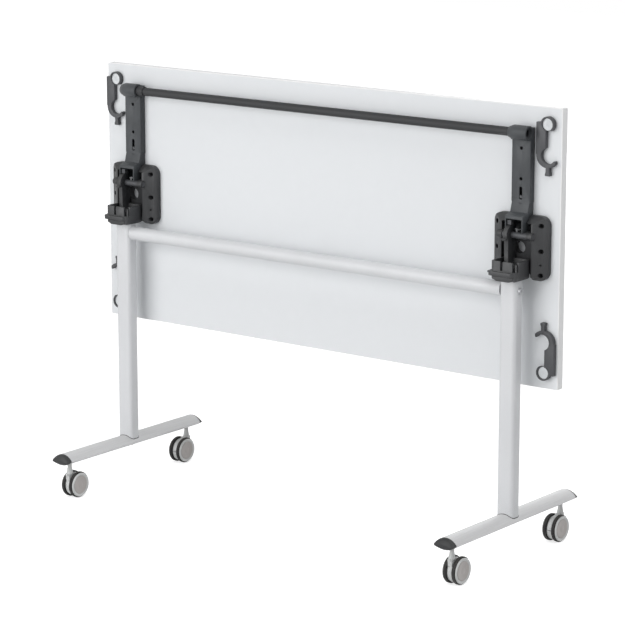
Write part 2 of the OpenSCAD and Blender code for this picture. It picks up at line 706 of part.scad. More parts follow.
// Latches: a nose in the knuckle's arc, a rod with a spring, and an eye for the crank
rod_low_z = 61;
collar_z = seat_rib_z - spring_len;
collar_r = 4.2;
guide_z = slot_z - slot_len / 2 + slot_w / 2 + 2;
eye_w = 3.6;
eye_gap = 0.5;
crank_a = -bar_turn / 2;
crank_pin_r = 2;
crank_gap = 9;
crank_pin = [bar_y + crank_r * cos(crank_a), hub_z + crank_r * sin(crank_a)];
module latch() {
    tip = pivot_z + groove_r + 0.5;
    low = pivot_z + shoulder_r + 0.8;
    top_clear = lift + 0.6;
    back = rod_y + rod_r;
    front = rod_y - rod_r;
    n0 = pivot_y - nose_half;
    n1 = pivot_y + nose_half;
    color(steel) {
        translate([rod_x, 0, 0]) {
            along_x(knuckle_t - 1) polygon([[n0, tip], [n1, tip], [n1, low], [pivot_y + 14, low + 1], [back, low + 11],
                [back, pivot_z + rod_low_z + 1], [front, pivot_z + rod_low_z + 1], [front, low + 14],
                [arm_y - 3, shelf_z - 2 - top_clear], [n0, shelf_z - 5 - flare_wall - top_clear]]);
            translate([0, rod_y, pivot_z + rod_low_z]) cylinder(r = rod_r, h = bar_z + crank_r * sin(crank_a) - rod_low_z - 6);
            translate([0, rod_y, pivot_z + collar_z - 2]) cylinder(r = collar_r, h = 2);
        }
        // Guide pin that shows through the arm's slot
        translate([rod_x / 2, rod_y - 0.5, pivot_z + guide_z]) cube([-rod_x, 3, slot_w - 1], center = true);
        translate([0, (rod_y + arm_y + 1) / 2, pivot_z + guide_z]) bar_y(slot_w / 2 - 0.4, rod_y - arm_y - 1);
        // Eye round the crank's pin
        translate([rod_x - 1.2, 0, 0]) difference() {
            translate([0, rod_y + 0.2, crank_pin[1] - 3.5]) cube([eye_w, 9.4, 14], center = true);
            translate([0, crank_pin[0], crank_pin[1]]) cube([eye_w + 2, 2 * crank_pin_r + 2 * eye_gap + 2, 2 * crank_pin_r + 2 * eye_gap],
                center = true);
        }
    }
}
// One unbroken wire wound up in turns, with a six-sided section
function helix(r, pitch, turns, n) = [for (i = [0:turns * n]) let (a = 360 * i / n)
    [r * cos(a), r * sin(a), pitch * i / n]];
module wire(path, wire_r, sides) {
    count = len(path);
    points = [for (i = [0:count - 1]) let (
        t = path[min(i + 1, count - 1)] - path[max(i - 1, 0)],
        u = t / norm(t),
        out = [path[i][0], path[i][1], 0] / norm([path[i][0], path[i][1]]),
        up = cross(u, out))
        for (k = [0:sides - 1]) path[i] + wire_r * (cos(360 * k / sides) * out + sin(360 * k / sides) * up)];
    walls = [for (i = [0:count - 2], k = [0:sides - 1]) let (
        a = i * sides + k, b = i * sides + (k + 1) % sides)
        each [[a, b, a + sides], [b, b + sides, a + sides]]];
    first = [for (k = [1:sides - 2]) [0, k + 1, k]];
    base = (count - 1) * sides;
    last = [for (k = [1:sides - 2]) [base, base + k, base + k + 1]];
    polyhedron(points = points, faces = concat(walls, first, last));
}
module latch_spring() {
    wire_r = wire_d / 2;
    coil_r = collar_r - wire_r;
    rise = spring_len - wire_d - 0.4;
    color(steel) translate([rod_x, rod_y, pivot_z + collar_z + wire_r + 0.2])
        wire(helix(coil_r, rise / spring_turns, spring_turns, 8), wire_r, 6);
}

// Release bar: a tube through both hubs, with a crank for each latch
module release_bar() {
    left_end = -half_span - arm_w / 2;
    right_end = half_span + arm_w / 2 - 7;
    collar_len = 18;
    collar_x = -half_span + arm_w / 2 + 0.5;
    color(dark) translate([0, bar_y, hub_z]) difference() {
        union() {
            translate([(left_end + right_end) / 2, 0, 0]) bar_x(bar_dia / 2, right_end - left_end);
            translate([collar_x + collar_len / 2, 0, 0]) bar_x(bar_dia / 2 + 1.6, collar_len);
        }
        translate([(left_end + right_end) / 2 + 2, 0, 0]) bar_x(bar_dia / 2 - bar_wall, right_end - left_end);
    }
}
module release_crank() {
    lug_w = 3;
    lug_x = rod_x - 1.2 + eye_w / 2 + 0.4 + lug_w / 2;
    pin_len = eye_w + 1.2;
    color(steel) translate([0, bar_y, hub_z]) rotate([crank_a, 0, 0]) {
        translate([lug_x, 0, 0]) difference() {
            union() {
                translate([0, crank_r / 2 + 3, 0]) cube([lug_w, crank_r, 5], center = true);
                translate([0, crank_r, 0]) bar_x(crank_pin_r + 0.5, lug_w);
            }
            bar_x(bar_dia / 2, lug_w + 2);
        }
        translate([lug_x - lug_w / 2 - pin_len / 2, crank_r, 0]) bar_x(crank_pin_r, pin_len + 0.2);
    }
}

// Linking hooks: a ring on a pivot, a flat body and an open hook for a neighbour's ring
link_x = top_w / 2 - link_end;
link_z = top_d / 2 - link_edge;
link_places = [for (x = [-1, 1], z = [1, -1]) [x * link_x, top_z + z * link_z]];
hook_in = ring_r + hook_gap;
hook_x = 3;
body_w = 22.5;
body_x = -ring_open_r - 13;
step_t = 4.5;
boss_flange_t = 1.6;
module link_outline() {
    outer = hook_in + hook_wall;
    hook = [hook_x, -link_pitch];
    tip_a = -40;
    tip_r = 2.8;
    tip_way = [cos(tip_a), sin(tip_a)];
    mouth_x = body_x + body_w - hook_x;
    difference() {
        union() {
            difference() {
                union() {
                    circle(ring_r);
                    translate([body_x, -link_pitch + 2]) square([body_w, link_pitch + 2]);
                    translate(hook + [-2, 1]) circle(outer);
                }
                // Mouth of the hook
                translate(hook) polygon([[mouth_x, 0], [mouth_x, 2 * outer], [2 * outer, 2 * outer],
                    2 * outer * tip_way, (hook_in - 2) * tip_way]);
            }
            // Rounded tip
            translate(hook + (hook_in + tip_r - 0.4) * tip_way) circle(tip_r);
        }
        translate(hook) circle(hook_in);
    }
    // Stub below the hook
    translate(hook + [-1, -outer]) polygon([[-4, 3], [4, 3], [4, -7], [5.5, -11], [5.5, -15], [-5.5, -15], [-5.5, -11], [-4, -7]]);
}
module link(flip) {
    rotate([0, flip ? 180 : 0, 0]) color(dark) difference() {
        translate([0, under_y - slip_c - link_t / 2, 0]) along_y(link_t) link_outline();
        translate([0, under_y - slip_c - step_t - link_t, 0]) bar_y(ring_open_r, 2 * link_t);
        translate([0, under_y, 0]) bar_y(ring_open_r - 2.5, 4 * link_t);
    }
}
module link_boss() {
    post_r = ring_open_r - 2.5 - run_c;
    post_h = slip_c + step_t + slip_c;
    flange_t = boss_flange_t;
    color(pale) difference() {
        union() {
            translate([0, under_y - post_h / 2, 0]) bar_y(post_r, post_h);
            translate([0, under_y - post_h - flange_t / 2, 0]) bar_y(ring_open_r - 0.2, flange_t);
        }
        translate([0, under_y, 0]) bar_y(wood_r + seat_c, 4 * post_h);
        translate([0, under_y - post_h - flange_t, 0]) bar_y(wood_head_r + 0.3, 2 * wood_head_h);
    }
}
module link_screw() wood_screw(2 * slip_c + step_t + boss_flange_t - wood_head_h, pale);
module link_at(i) translate([link_places[i][0], 0, link_places[i][1]]) children();

// Casters: a fork body on a stem, twin wheels and a brake pedal. The wheels trail towards +Y here.
fork_r = wheel_r - 3.5;
pedal_in = 15;
pedal_a0 = 3;
pedal_a1 = 62;
web_half = 1.4;
module fork_outline() {
    difference() {
        union() {
            translate([trail, wheel_r]) circle(fork_r, $fn = 96);
            polygon([[-7, wheel_r + 12], [-8, wheel_d - 4], [-6, wheel_d], [6, wheel_d], [trail, wheel_d - 3.5],
                [trail, wheel_r]]);
        }
        // Room for the pedal and its travel, at the trailing side
        translate([trail, wheel_r]) difference() {
            wedge(2 * fork_r, -pedal_a1 - pedal_travel - 2, 0);
            circle(pedal_in - slip_c);
        }
    }
}
module fork() {
    color(grey) difference() {
        union() {
            along_x(fork_w) fork_outline();
            translate([0, 0, wheel_d - 2]) cylinder(r1 = neck_low_r, r2 = neck_top_r, h = cone_h + 2);
            translate([0, 0, wheel_d]) cylinder(r = neck_top_r, h = neck_h - slip_c);
            // Small lug at the leading side of the neck
            translate([0, -8, wheel_d - 3]) cube([fork_w - 3, 5, 4], center = true);
        }
        translate([0, 0, wheel_r + 16]) cylinder(r = stem_r + run_c, h = wheel_d);
        translate([0, trail, wheel_r]) bar_x(axle_r + seat_c, fork_w + 2);
        // Slot for the pedal's web
        translate([0, trail, wheel_r]) along_x(2 * web_half + 2 * slip_c) {
            circle(7);
            wedge(pedal_in + 1, -pedal_a1 - pedal_travel - 2, 0);
        }
    }
}
module caster_stem() {
    nut_r = stem_r * 1.8;
    color(steel) {
        translate([0, 0, wheel_r + 17]) cylinder(r = stem_r, h = foot_z + foot_wall + 9 - wheel_r - 17);
        translate([0, 0, foot_z + belly_in(nut_r)]) cylinder(r = nut_r, h = 5, $fn = 6);
    }
}
module axle() {
    color(steel) translate([0, trail, wheel_r]) bar_x(axle_r, 2 * (wheel_x + wheel_w - disc_t - 1));
}
wheel_x = fork_w / 2 + 1;
module each_wheel() for (s = [0, 180]) translate([0, trail, wheel_r]) rotate([0, 90, s]) children();
module wheels() {
    seat_r = wheel_r - tyre_t;
    rim_r = wheel_r - 2.4;
    w = wheel_w;
    color(grey) each_wheel() translate([0, 0, wheel_x]) rotate_extrude($fn = 96)
        polygon([[axle_r + run_c, 0.3], [8, 0.3], [9, 3], [seat_r - 3, 3], [seat_r - 2, 0.4], [seat_r, 0.4],
            [seat_r, w - 3.2], [rim_r, w - 3.2], [rim_r, w - 2.6], [rim_r - 4, w], [rim_r - 5, w], [rim_r - 6, w - 0.6],
            [0, w - 0.6], [0, w - disc_t], [axle_r + run_c, w - disc_t]]);
}
module tyres() {
    seat_r = wheel_r - tyre_t + seat_c;
    w = wheel_w - 3.4;
    color(dark) each_wheel() translate([0, 0, wheel_x]) rotate_extrude($fn = 96)
        polygon([[seat_r, 0.4], [wheel_r - 1.6, 0.4], [wheel_r - 0.5, 1], [wheel_r, 2.2], [wheel_r, w - 2],
            [wheel_r - 0.5, w - 0.7], [wheel_r - 1.6, w], [seat_r, w]]);
}
module pedal() {
    color(grey) translate([0, trail, wheel_r]) difference() {
        union() {
            along_x(fork_w) difference() {
                wedge(fork_r, -pedal_a1, -pedal_a0);
                circle(pedal_in);
            }
            along_x(2 * web_half) {
                circle(6.4);
                wedge(pedal_in + 1, 1 - pedal_a1, -pedal_a0 - 1);
            }
        }
        bar_x(axle_r + run_c, fork_w + 2);
        // Grip lines across the tread
        for (a = [15:12:51]) rotate([-a, 0, 0]) translate([0, fork_r, 0]) cube([fork_w + 2, 1.6, 1.2], center = true);
    }
}
module caster_at(x, y) {
    translate([x * half_span, y * caster_y, 0]) rotate([0, 0, y < 0 ? 0 : 180]) children();
}
module at_casters() for (x = [-1, 1], y = [-1, 1]) caster_at(x, y) children();

at_left() foot();  // left_foot
at_right() foot();  // right_foot
at_both() end_cap();  // front_foot_caps
at_both() rotate([0, 0, 180]) end_cap();  // rear_foot_caps
at_left() column();  // left_column
at_right() column();  // right_column
crossbar();
for (s = [-1, 1]) crossbar_plug(s);  // crossbar_plugs
for (s = [-1, 1]) crossbar_bolt(s);  // crossbar_bolts
at_both() column_base_plug();  // column_base_plugs
at_both() for (s = [-1, 1]) translate([0, s * base_bolt_y, 0]) base_bolt();  // base_bolts
at_left() column_head();  // left_column_head
at_right() column_head();  // right_column_head
at_both() head_screw();  // head_screws
at_casters() caster_stem();  // caster_stems
table_top();
edge_band();
at_left() tilt_bracket();  // left_tilt_bracket
at_right() tilt_bracket();  // right_tilt_bracket
at_both() for (x = [-1, 1], z = screw_z) translate([x * screw_x, 0, pivot_z + z]) wood_screw(screw_seat);  // bracket_screws
at_left() arm();  // left_arm
at_right() arm();  // right_arm
at_both() for (z = arm_screw_z) translate([0, 0, pivot_z + z]) wood_screw(3);  // arm_screws
at_both() pivot_pin();  // pivot_pins
at_both() pivot_sleeve();  // pivot_sleeves
for (i = [0:3]) link_at(i) link_boss();  // link_bosses
for (i = [0:3]) link_at(i) link_screw();  // link_screws
release_bar();
at_both() release_crank();  // release_cranks
at_left() latch();  // left_latch
at_right() latch();  // right_latch
at_left() latch_spring();  // left_latch_spring
at_right() latch_spring();  // right_latch_spring
link_at(0) link(false);  // front_left_link
link_at(1) link(true);  // rear_left_link
link_at(2) link(false);  // front_right_link
link_at(3) link(true);  // rear_right_link
caster_at(-1, -1) fork();  // front_left_fork
caster_at(1, -1) fork();  // front_right_fork
caster_at(-1, 1) fork();  // rear_left_fork
caster_at(1, 1) fork();  // rear_right_fork
caster_at(-1, -1) axle();  // front_left_axle
caster_at(1, -1) axle();  // front_right_axle
caster_at(-1, 1) axle();  // rear_left_axle
caster_at(1, 1) axle();  // rear_right_axle
caster_at(-1, -1) wheels();  // front_left_wheels
caster_at(1, -1) wheels();  // front_right_wheels
caster_at(-1, 1) wheels();  // rear_left_wheels
caster_at(1, 1) wheels();  // rear_right_wheels
caster_at(-1, -1) tyres();  // front_left_tyres
caster_at(1, -1) tyres();  // front_right_tyres
caster_at(-1, 1) tyres();  // rear_left_tyres
caster_at(1, 1) tyres();  // rear_right_tyres
caster_at(-1, -1) pedal();  // front_left_pedal
caster_at(1, -1) pedal();  // front_right_pedal
caster_at(-1, 1) pedal();  // rear_left_pedal
caster_at(1, 1) pedal();  // rear_right_pedal
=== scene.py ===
# %% [markdown]
# A flip top training table, folded for nesting: the white top hangs upright behind two silver
# T-legs on casters. The solids of the table come packed, in metres and in their places. This
# lesson dresses them: it sets up a plain studio, rounds the edges of the castings and mouldings,
# and gives every part a finish that is built from nodes.

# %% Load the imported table
import json
import math

import bpy
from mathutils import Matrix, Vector

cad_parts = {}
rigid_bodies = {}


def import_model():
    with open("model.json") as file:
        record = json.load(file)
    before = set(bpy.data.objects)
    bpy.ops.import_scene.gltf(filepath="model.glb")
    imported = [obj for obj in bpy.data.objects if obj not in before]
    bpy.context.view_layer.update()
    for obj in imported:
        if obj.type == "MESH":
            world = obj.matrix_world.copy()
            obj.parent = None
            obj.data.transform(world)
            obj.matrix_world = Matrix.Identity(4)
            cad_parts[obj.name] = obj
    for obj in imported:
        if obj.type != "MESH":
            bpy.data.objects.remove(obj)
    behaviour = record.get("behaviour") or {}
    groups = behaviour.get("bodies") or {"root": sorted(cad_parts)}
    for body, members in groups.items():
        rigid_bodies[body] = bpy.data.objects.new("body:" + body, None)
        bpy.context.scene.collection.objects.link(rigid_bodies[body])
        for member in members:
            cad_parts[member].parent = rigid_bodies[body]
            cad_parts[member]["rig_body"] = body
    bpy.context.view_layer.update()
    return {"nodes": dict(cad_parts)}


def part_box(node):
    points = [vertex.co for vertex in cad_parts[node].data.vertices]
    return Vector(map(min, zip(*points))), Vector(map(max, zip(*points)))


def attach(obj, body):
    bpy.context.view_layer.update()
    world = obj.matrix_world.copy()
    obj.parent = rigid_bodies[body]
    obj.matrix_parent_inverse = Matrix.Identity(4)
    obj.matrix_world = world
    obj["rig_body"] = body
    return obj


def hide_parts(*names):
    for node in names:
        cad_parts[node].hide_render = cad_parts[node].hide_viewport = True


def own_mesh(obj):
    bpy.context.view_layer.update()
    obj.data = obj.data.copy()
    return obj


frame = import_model()

# %% [markdown]
# The camera. The photograph is taken with a long lens from the front right, a little above the
# table. Its place was found by matching the corners of the top, the columns and the casters, so
# it is written here as numbers. The lens shift stays at zero, because the other views keep it.

# %% Camera
SENSOR = 36.0
PICTURE = 625.0
FOCAL_PX = 2739.07
CAMERA_AT = (3.4769, -4.5124, 1.7031)
CAMERA_TURN = 37.533
CAMERA_DOWN = 12.361

camera_data = bpy.data.cameras.new("studio_camera")
camera_data.sensor_width = SENSOR
camera_data.lens = FOCAL_PX / PICTURE * SENSOR
camera_data.clip_end = 60.0
camera = bpy.data.objects.new("studio_camera", camera_data)
bpy.context.scene.collection.objects.link(camera)
camera.location = CAMERA_AT
camera.rotation_euler = (math.radians(90 - CAMERA_DOWN), 0.0, math.radians(CAMERA_TURN))
bpy.context.scene.camera = camera
print("lens in mm:", round(camera_data.lens, 2))

# %% [markdown]
# Two small helpers come first. Blender's operators act on whatever is selected, so each step
# starts from nothing selected. The second one makes the tree of a new material, ready for links.

# %% Helpers
def select_only(item):
    """Leaves one object selected and active."""
    bpy.ops.object.select_all(action="DESELECT")
    item.select_set(True)
    bpy.context.view_layer.objects.active = item


def new_material(name):
    """A material with a Principled shader, and its tree."""
    material = bpy.data.materials.new(name)
    material.use_nodes = True
    tree = material.node_tree
    tree.nodes.clear()
    output = tree.nodes.new("ShaderNodeOutputMaterial")
    shader = tree.nodes.new("ShaderNodeBsdfPrincipled")
    tree.links.new(shader.outputs["BSDF"], output.inputs["Surface"])
    return material, tree, shader


def screen(red, green, blue):
    """A colour as it looks on a screen, from 0 to 255, turned into Blender's linear values."""
    def linear(value):
        value /= 255.0
        return value / 12.92 if value <= 0.04045 else ((value + 0.055) / 1.055) ** 2.4
    return (linear(red), linear(green), linear(blue), 1.0)


# %% [markdown]
# The studio. A plain pale floor catches the shadow. A large soft lamp lights the faces that look
# to the front left, one above picks out the crowned feet, one behind keeps the worktop bright, and
# the pale world fills the rest. Seen straight or in a reflection the world and the floor are
# white, as in the picture, without adding any light to the table.

# %% World
world = bpy.data.worlds.new("studio_world")
bpy.context.scene.world = world
world.use_nodes = True
sky = world.node_tree
sky.nodes.clear()
sky_out = sky.nodes.new("ShaderNodeOutputWorld")
sky_mix = sky.nodes.new("ShaderNodeMixShader")
sky_light = sky.nodes.new("ShaderNodeBackground")
sky_white = sky.nodes.new("ShaderNodeBackground")
SKY_STRENGTH = 0.33
sky_light.inputs["Color"].default_value = (0.97, 0.985, 1.0, 1.0)
sky_light.inputs["Strength"].default_value = SKY_STRENGTH
sky_white.inputs["Color"].default_value = (1.0, 1.0, 1.0, 1.0)
sky_white.inputs["Strength"].default_value = 1.0


def seen_directly(tree):
    """1 for rays from the camera, in a reflection or through glass, 0 for light."""
    path = tree.nodes.new("ShaderNodeLightPath")
    value = path.outputs["Is Camera Ray"]
    for other in ("Is Glossy Ray", "Is Transmission Ray"):
        largest = tree.nodes.new("ShaderNodeMath")
        largest.operation = "MAXIMUM"
        tree.links.new(value, largest.inputs[0])
        tree.links.new(path.outputs[other], largest.inputs[1])
        value = largest.outputs[0]
    return value


sky.links.new(seen_directly(sky), sky_mix.inputs["Fac"])
sky.links.new(sky_light.outputs[0], sky_mix.inputs[1])
sky.links.new(sky_white.outputs[0], sky_mix.inputs[2])
sky.links.new(sky_mix.outputs[0], sky_out.inputs["Surface"])
print("world light:", SKY_STRENGTH)

# %% Floor
FLOOR_HALF = 9.0
FLOOR_Z = -0.0005
FLOOR_GLOW = 0.66
FAR_GLOW = 0.95
GLOW_FROM, GLOW_TO = 1.2, 5.0
bpy.ops.object.select_all(action="DESELECT")
bpy.ops.mesh.primitive_plane_add(size=2 * FLOOR_HALF, location=(0.0, 0.0, FLOOR_Z))
floor = bpy.context.object
floor.name = "studio_floor"
floor_paint = bpy.data.materials.new("pale_floor")
floor_paint.use_nodes = True
tree = floor_paint.node_tree
tree.nodes.clear()
floor_out = tree.nodes.new("ShaderNodeOutputMaterial")
floor_mix = tree.nodes.new("ShaderNodeMixShader")
floor_plain = tree.nodes.new("ShaderNodeBsdfDiffuse")
floor_plain.inputs["Color"].default_value = (0.8, 0.8, 0.8, 1.0)
floor_sum = tree.nodes.new("ShaderNodeAddShader")
floor_glow = tree.nodes.new("ShaderNodeEmission")
distance = tree.nodes.new("ShaderNodeVectorMath")
distance.operation = "LENGTH"
floor_place = tree.nodes.new("ShaderNodeTexCoord")
tree.links.new(floor_place.outputs["Object"], distance.inputs[0])
brighter = tree.nodes.new("ShaderNodeMapRange")
brighter.inputs["From Min"].default_value = GLOW_FROM
brighter.inputs["From Max"].default_value = GLOW_TO
brighter.inputs["To Min"].default_value = FLOOR_GLOW
brighter.inputs["To Max"].default_value = FAR_GLOW
tree.links.new(distance.outputs["Value"], brighter.inputs["Value"])
tree.links.new(brighter.outputs["Result"], floor_glow.inputs["Strength"])
tree.links.new(seen_directly(tree), floor_mix.inputs["Fac"])
tree.links.new(floor_plain.outputs[0], floor_mix.inputs[1])
tree.links.new(floor_plain.outputs[0], floor_sum.inputs[0])
tree.links.new(floor_glow.outputs[0], floor_sum.inputs[1])
tree.links.new(floor_sum.outputs[0], floor_mix.inputs[2])
tree.links.new(floor_mix.outputs[0], floor_out.inputs["Surface"])
floor.data.materials.append(floor_paint)
print("floor:", floor.name, "half a side in metres:", FLOOR_HALF)

# %% Lamps
LAMPS = {
    "key_lamp": ((-1.6, -4.6, 2.0), 4.4, 165.0),
    "top_lamp": ((2.4, -0.7, 4.2), 2.6, 75.0),
    "back_lamp": ((-0.8, 4.8, 0.9), 4.0, 95.0),
}
LOOK_AT = Vector((0.0, 0.0, 0.55))
for lamp_name, (place, size, watts) in LAMPS.items():
    lamp_data = bpy.data.lights.new(lamp_name, "AREA")
    lamp_data.shape = "SQUARE"
    lamp_data.size = size
    lamp_data.energy = watts
    lamp = bpy.data.objects.new(lamp_name, lamp_data)
    bpy.context.scene.collection.objects.link(lamp)
    lamp.location = place
    lamp.rotation_euler = (LOOK_AT - Vector(place)).to_track_quat("-Z", "Y").to_euler()
    print(lamp_name, watts, "W")

view_settings = bpy.context.scene.view_settings
view_settings.view_transform = "Standard"

# %% [markdown]
# Finishes are shared. Each effect below is a node group with named inputs, so that one recipe,
# such as the pebbled skin of a moulding, serves several materials at its own scale. A group gives
# only masks and heights. The shader that uses them stays in the material.

# %% Recipe: a group with named sockets
def new_group(name, floats, outputs):
    """A shader node group with a Vector input, some number inputs and some outputs."""
    group = bpy.data.node_groups.new(name, "ShaderNodeTree")
    group.interface.new_socket(name="Vector", in_out="INPUT", socket_type="NodeSocketVector")
    for label, value in floats.items():
        socket = group.interface.new_socket(name=label, in_out="INPUT",
                                            socket_type="NodeSocketFloat")
        socket.default_value = value
    for label in outputs:
        group.interface.new_socket(name=label, in_out="OUTPUT", socket_type="NodeSocketFloat")
    return group, group.nodes.new("NodeGroupInput"), group.nodes.new("NodeGroupOutput")


def noise(tree, vector, scale, detail=2.0, rough=0.5):
    """A noise texture on the given coordinates. Scale is a number or a socket."""
    node = tree.nodes.new("ShaderNodeTexNoise")
    node.inputs["Detail"].default_value = detail
    node.inputs["Roughness"].default_value = rough
    tree.links.new(vector, node.inputs["Vector"])
    if isinstance(scale, (int, float)):
        node.inputs["Scale"].default_value = scale
    else:
        tree.links.new(scale, node.inputs["Scale"])
    return node.outputs["Fac"]


def sharpen(tree, value, low, high, to_low=0.0, to_high=1.0):
    """Stretches a value from one range to another and clamps it."""
    node = tree.nodes.new("ShaderNodeMapRange")
    labels = ("From Min", "From Max", "To Min", "To Max")
    for label, number in zip(labels, (low, high, to_low, to_high)):
        node.inputs[label].default_value = number
    tree.links.new(value, node.inputs["Value"])
    return node.outputs["Result"]


def combine(tree, operation, first, second):
    """One Math node. The second value is a number or a socket."""
    node = tree.nodes.new("ShaderNodeMath")
    node.operation = operation
    tree.links.new(first, node.inputs[0])
    if isinstance(second, (int, float)):
        node.inputs[1].default_value = second
    else:
        tree.links.new(second, node.inputs[1])
    return node.outputs[0]


# %% [markdown]
# Moulded skin. Nylon and ABS mouldings carry an etched, pebbled texture from the tool, and they
# get shiny patches where hands rub them. Voronoi cells give the pebbles, and a broad noise gives
# the patches. A plain noise alone would look like dirt instead of grain.

# %% Group: moulded skin
skin, skin_in, skin_out = new_group("moulded_skin", {"Grain": 900.0, "Patch": 14.0},
                                    ["Height", "Rub", "Tone"])
pebbles = skin.nodes.new("ShaderNodeTexVoronoi")
pebbles.feature = "SMOOTH_F1"
skin.links.new(skin_in.outputs["Vector"], pebbles.inputs["Vector"])
skin.links.new(skin_in.outputs["Grain"], pebbles.inputs["Scale"])
skin.links.new(pebbles.outputs["Distance"], skin_out.inputs["Height"])
patches = noise(skin, skin_in.outputs["Vector"], skin_in.outputs["Patch"], 3.0)
skin.links.new(sharpen(skin, patches, 0.42, 0.68), skin_out.inputs["Rub"])
broad = noise(skin, skin_in.outputs["Vector"], 45.0, 4.0, 0.6)
skin.links.new(sharpen(skin, broad, 0.3, 0.7), skin_out.inputs["Tone"])
print(skin.name, "outputs", [s.name for s in skin_out.inputs if s.name])

# %% [markdown]
# Powder coat. Sprayed powder melts into a faint orange peel, with a very fine fleck where metal
# flakes lie in it. Two noises of different size give the waves, and a sharp fine one the flecks.

# %% Group: powder coat
coat, coat_in, coat_out = new_group("powder_coat", {"Peel": 420.0, "Fleck": 2600.0},
                                    ["Height", "Fleck", "Tone"])
waves = noise(coat, coat_in.outputs["Vector"], coat_in.outputs["Peel"], 1.0)
coat.links.new(waves, coat_out.inputs["Height"])
specks = noise(coat, coat_in.outputs["Vector"], coat_in.outputs["Fleck"], 0.0)
coat.links.new(sharpen(coat, specks, 0.56, 0.7), coat_out.inputs["Fleck"])
slow = noise(coat, coat_in.outputs["Vector"], 6.0, 2.0)
coat.links.new(sharpen(coat, slow, 0.3, 0.7), coat_out.inputs["Tone"])
print(coat.name)

# %% [markdown]
# Drawn metal. A section that is pushed through a die carries fine lines along its length. The
# coordinates are squeezed along one axis before the noise, so its grains turn into long lines.

# %% Group: drawn lines
drawn, drawn_in, drawn_out = new_group("drawn_lines", {"Along X": 1.0, "Along Y": 1.0,
                                                       "Along Z": 1.0, "Scale": 900.0},
                                       ["Height", "Line"])
axes = drawn.nodes.new("ShaderNodeCombineXYZ")
for axis in "XYZ":
    drawn.links.new(drawn_in.outputs["Along " + axis], axes.inputs[axis])
squeeze = drawn.nodes.new("ShaderNodeVectorMath")
squeeze.operation = "MULTIPLY"
drawn.links.new(drawn_in.outputs["Vector"], squeeze.inputs[0])
drawn.links.new(axes.outputs[0], squeeze.inputs[1])
lines = noise(drawn, squeeze.outputs[0], drawn_in.outputs["Scale"], 2.0, 0.6)
drawn.links.new(lines, drawn_out.inputs["Height"])
drawn.links.new(sharpen(drawn, lines, 0.35, 0.7), drawn_out.inputs["Line"])
print(drawn.name)

# %% [markdown]
# Settled dust. A little dust stays on faces that look up, most of all on the feet and the casters.
# The mask takes the upward part of the surface normal and breaks it up with noise, so it never
# looks painted on.

# %% Group: settled dust
dust, dust_in, dust_out = new_group("settled_dust", {"Scale": 60.0, "Amount": 0.3}, ["Mask"])
shape = dust.nodes.new("ShaderNodeNewGeometry")
facing = dust.nodes.new("ShaderNodeSeparateXYZ")
dust.links.new(shape.outputs["Normal"], facing.inputs[0])
upward = sharpen(dust, facing.outputs["Z"], 0.2, 0.95)
grit = noise(dust, dust_in.outputs["Vector"], dust_in.outputs["Scale"], 5.0, 0.65)
broken = sharpen(dust, grit, 0.35, 0.75)
lying = combine(dust, "MULTIPLY", upward, broken)
dust.links.new(combine(dust, "MULTIPLY", lying, dust_in.outputs["Amount"]), dust_out.inputs["Mask"])
print(dust.name)

# %% Helpers that put a group into a material
def place_group(tree, group, **values):
    """Adds a group on Object coordinates, with its number inputs set."""
    where = tree.nodes.new("ShaderNodeTexCoord")
    node = tree.nodes.new("ShaderNodeGroup")
    node.node_tree = group
    tree.links.new(where.outputs["Object"], node.inputs["Vector"])
    for label, number in values.items():
        node.inputs[label.replace("_", " ")].default_value = number
    return node


def blend_colour(tree, factor, first, second):
    """Mixes two colours. The first is a colour or a socket."""
    node = tree.nodes.new("ShaderNodeMix")
    node.data_type = "RGBA"
    tree.links.new(factor, node.inputs["Factor"])
    if isinstance(first, tuple):
        node.inputs["A"].default_value = first
    else:
        tree.links.new(first, node.inputs["A"])
    node.inputs["B"].default_value = second
    return node.outputs["Result"]


def raise_surface(tree, shader, height, distance, strength=1.0):
    """A bump from a height in metres."""
    bump = tree.nodes.new("ShaderNodeBump")
    bump.inputs["Distance"].default_value = distance
    bump.inputs["Strength"].default_value = strength
    tree.links.new(height, bump.inputs["Height"])
    tree.links.new(bump.outputs["Normal"], shader.inputs["Normal"])


# %% [markdown]
# The top is a chipboard panel faced with white melamine. Its underside has the same facing: a
# cool white with a hardly visible pebble from the press plate. The edge band is a plastic strip,
# glued on, a touch whiter and smoother. Both come from one recipe, which every moulding shares.

# %% Materials: board and edge band
DUST_ON_PLASTIC = screen(176, 172, 165)


def moulded(name, colour, rubbed, rough, rough_rubbed, grain=900.0, depth=0.00004, dusty=0.0,
            specular=0.5, shade=0.9):
    """A moulded or pressed skin with pebbles, rubbed patches and some dust."""
    material, tree, shader = new_material(name)
    group = place_group(tree, skin, Grain=grain)
    shaded = tuple(c * shade for c in colour[:3]) + (1.0,)
    tone = blend_colour(tree, group.outputs["Tone"], colour, shaded)
    tone = blend_colour(tree, group.outputs["Rub"], tone, rubbed)
    if dusty:
        lay = place_group(tree, dust, Amount=dusty)
        tone = blend_colour(tree, lay.outputs["Mask"], tone, DUST_ON_PLASTIC)
    tree.links.new(tone, shader.inputs["Base Color"])
    gloss = sharpen(tree, group.outputs["Rub"], 0.0, 1.0, rough, rough_rubbed)
    tree.links.new(gloss, shader.inputs["Roughness"])
    shader.inputs["Specular IOR Level"].default_value = specular
    raise_surface(tree, shader, group.outputs["Height"], depth, 0.6)
    return material


BOARD = moulded("melamine_board", screen(226, 228, 230), screen(225, 227, 229), rough=0.5,
                rough_rubbed=0.44, grain=1400.0, depth=0.00002, specular=0.35, shade=0.985)
BAND = moulded("edge_strip", screen(238, 238, 238), screen(234, 234, 234), rough=0.42,
               rough_rubbed=0.34, grain=700.0, depth=0.00001, shade=0.97)
print("board and band")

